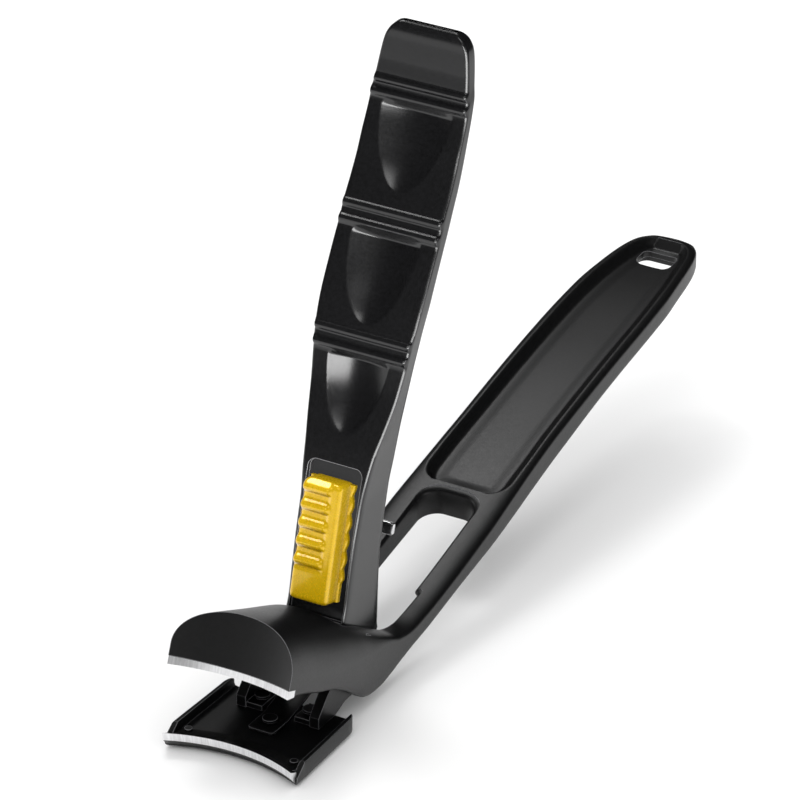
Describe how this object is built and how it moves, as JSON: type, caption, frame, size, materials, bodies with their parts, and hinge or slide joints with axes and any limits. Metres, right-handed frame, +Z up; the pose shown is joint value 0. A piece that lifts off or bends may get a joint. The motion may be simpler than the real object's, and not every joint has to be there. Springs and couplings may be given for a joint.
{
  "type": "nail clipper",
  "caption": "Wide-jaw nail clipper, open, with a ridged folding lever, a sliding lock and a long dished handle.",
  "frame": {"origin": "middle of the lower jaw's flat underside, which the open clipper rests on", "axes": "+Z up from the rest face, +X to the clipper's right, -Y towards the blades, +Y along the handle"},
  "size_m": [0.0186, 0.1137, 0.0783],
  "materials": {
    "black_coat": "satin to glossy black coating on a metal casting",
    "lever_coat": "glossy black coating",
    "ground_steel": "ground bright along the cutting edge",
    "steel": "bright turned or rolled steel",
    "yellow_coat": "glossy yellow"
  },
  "bodies": {
    "body": {"body_casting": "black_coat", "upper_blade": "ground_steel", "upper_blade_pin_left": "steel", "upper_blade_pin_right": "steel", "lever_pin": "black_coat", "jaw_pivot_left": "black_coat", "jaw_pivot_right": "black_coat"},
    "jaw": {"lower_jaw": "black_coat", "lower_blade": "ground_steel", "lower_blade_pin_left": "black_coat", "lower_blade_pin_right": "black_coat", "jaw_ear_left": "black_coat", "jaw_ear_right": "black_coat", "ear_rivet_left": "black_coat", "ear_rivet_right": "black_coat", "drive_pin": "steel", "return_spring": "black_coat", "spring_rivet": "black_coat"},
    "lever": {"lever": "lever_coat"},
    "slider": {"slider_button": "yellow_coat", "lock_stud": "steel", "slider_detent": "steel"}
  },
  "joints": [
    {"name": "lever_fold", "type": "hinge", "parent": "body", "child": "lever", "pos_m": [0, 0.0135, 0.008], "axis": [-1, 0, 0], "range_deg": [0, 56], "stiffness_Nm_per_rad": 0.08, "springref_deg": -14.32},
    {"name": "jaw_close", "type": "hinge", "parent": "body", "child": "jaw", "pos_m": [0, 0.0172, 0.0046], "axis": [-1, 0, 0], "range_deg": [0, 20.9], "deforming": ["return_spring"]},
    {"name": "slider_lock", "type": "slide", "parent": "lever", "child": "slider", "axis": [0, 0.2672, 0.9636], "range_m": [0, 0.0014]}
  ],
  "couplings": [
    {"joint": "jaw_close", "follows": "lever_fold", "ratio": 0.3732}
  ]
}
